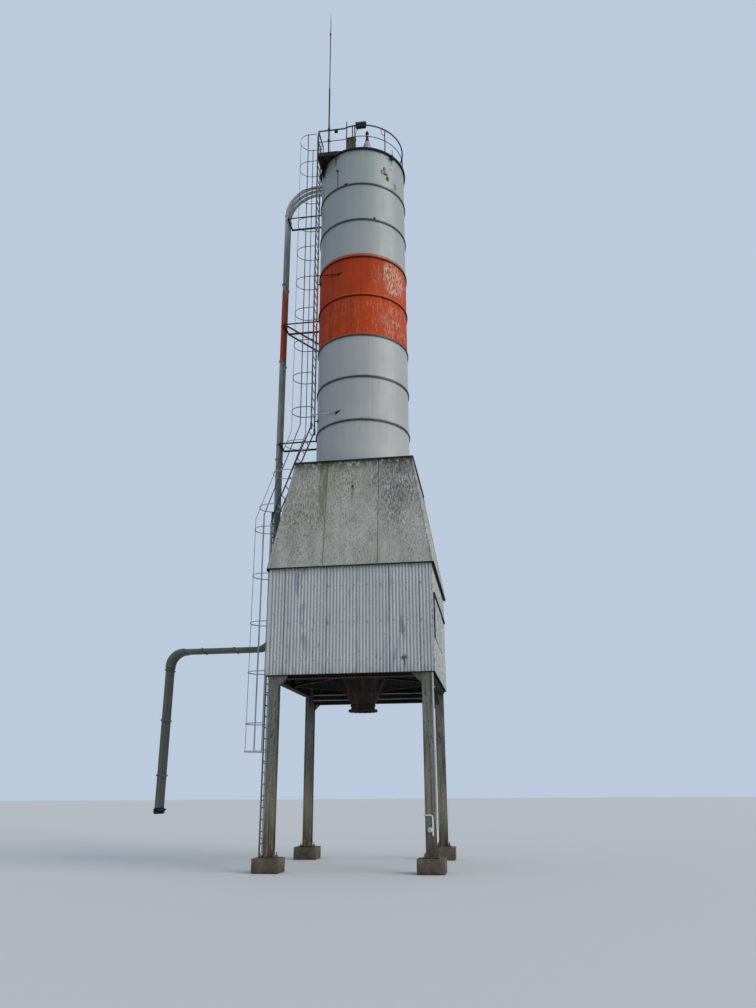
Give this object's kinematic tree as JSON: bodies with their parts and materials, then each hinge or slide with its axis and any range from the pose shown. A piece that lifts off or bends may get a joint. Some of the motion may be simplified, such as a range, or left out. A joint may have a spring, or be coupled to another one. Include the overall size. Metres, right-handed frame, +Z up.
{
  "type": "cement silo",
  "caption": "Tall round cement silo in a clad steel tower on columns, with caged ladder, fill pipes, roof railing and lightning rod.",
  "frame": {"origin": "centre of the underside of the front left plinth, at ground level", "axes": "+X to the right along the front, +Y from the front to the back, +Z up"},
  "size_m": [8.4427, 5.0194, 30],
  "materials": {
    "concrete": "rough, stained",
    "column_paint": "weathered, rust at the foot",
    "frame_paint": "matt, rusted",
    "cladding_sheet": "corrugated, dusty",
    "hood_sheet": "stained, matt",
    "hood_cap_sheet": "matt",
    "shell_paint": "satin, streaked",
    "orange_paint": "satin, weathered",
    "rusted_plate": "rust",
    "ladder_steel": "weathered",
    "pale_paint": "weathered",
    "dark_steel": "matt",
    "pipe_paint": "satin",
    "galvanised_pipe": "dull",
    "fitting_paint": "weathered",
    "coupling_rubber": "dusty"
  },
  "bodies": {
    "root": {"column_front_left": "column_paint", "plinth_front_left": "concrete", "column_front_right": "column_paint", "plinth_front_right": "concrete", "column_rear_left": "column_paint", "plinth_rear_left": "concrete", "column_rear_right": "column_paint", "plinth_rear_right": "concrete", "floor_beam_front": "frame_paint", "floor_beam_rear": "frame_paint", "floor_beam_left": "frame_paint", "floor_beam_right": "frame_paint", "eave_frame": "frame_paint", "floor_bracing": "frame_paint", "front_cladding": "cladding_sheet", "rear_cladding": "cladding_sheet", "left_cladding": "cladding_sheet", "right_cladding": "cladding_sheet", "hood_front": "hood_sheet", "hood_right": "hood_sheet", "hood_rear": "hood_sheet", "hood_left": "hood_sheet", "hood_cap": "hood_cap_sheet", "deck_plate": "frame_paint", "deck_beams": "frame_paint", "shell_skirt": "shell_paint", "shell_lower": "shell_paint", "shell_band": "orange_paint", "shell_upper": "shell_paint", "roof_plate": "shell_paint", "discharge_cone": "rusted_plate", "outlet_neck": "rusted_plate", "ladder_lower": "ladder_steel", "ladder_incline": "ladder_steel", "ladder_upper": "ladder_steel", "cage_lower": "pale_paint", "cage_incline": "ladder_steel", "cage_upper": "ladder_steel", "landing": "dark_steel", "railing_front": "ladder_steel", "railing_rear": "ladder_steel", "railing_landing": "ladder_steel", "lightning_rod": "dark_steel", "vent_cone": "fitting_paint", "junction_box": "fitting_paint", "lamp_box": "dark_steel", "fill_pipe_near": "pipe_paint", "fill_pipe_middle": "pipe_paint", "fill_pipe_far": "pipe_paint", "drop_couplings": "coupling_rubber", "pipe_bracket_low": "dark_steel", "pipe_bracket_middle": "dark_steel", "pipe_bracket_high": "dark_steel", "pipe_bracket_wall": "dark_steel", "column_conduit": "galvanised_pipe"}
  },
  "joints": []
}
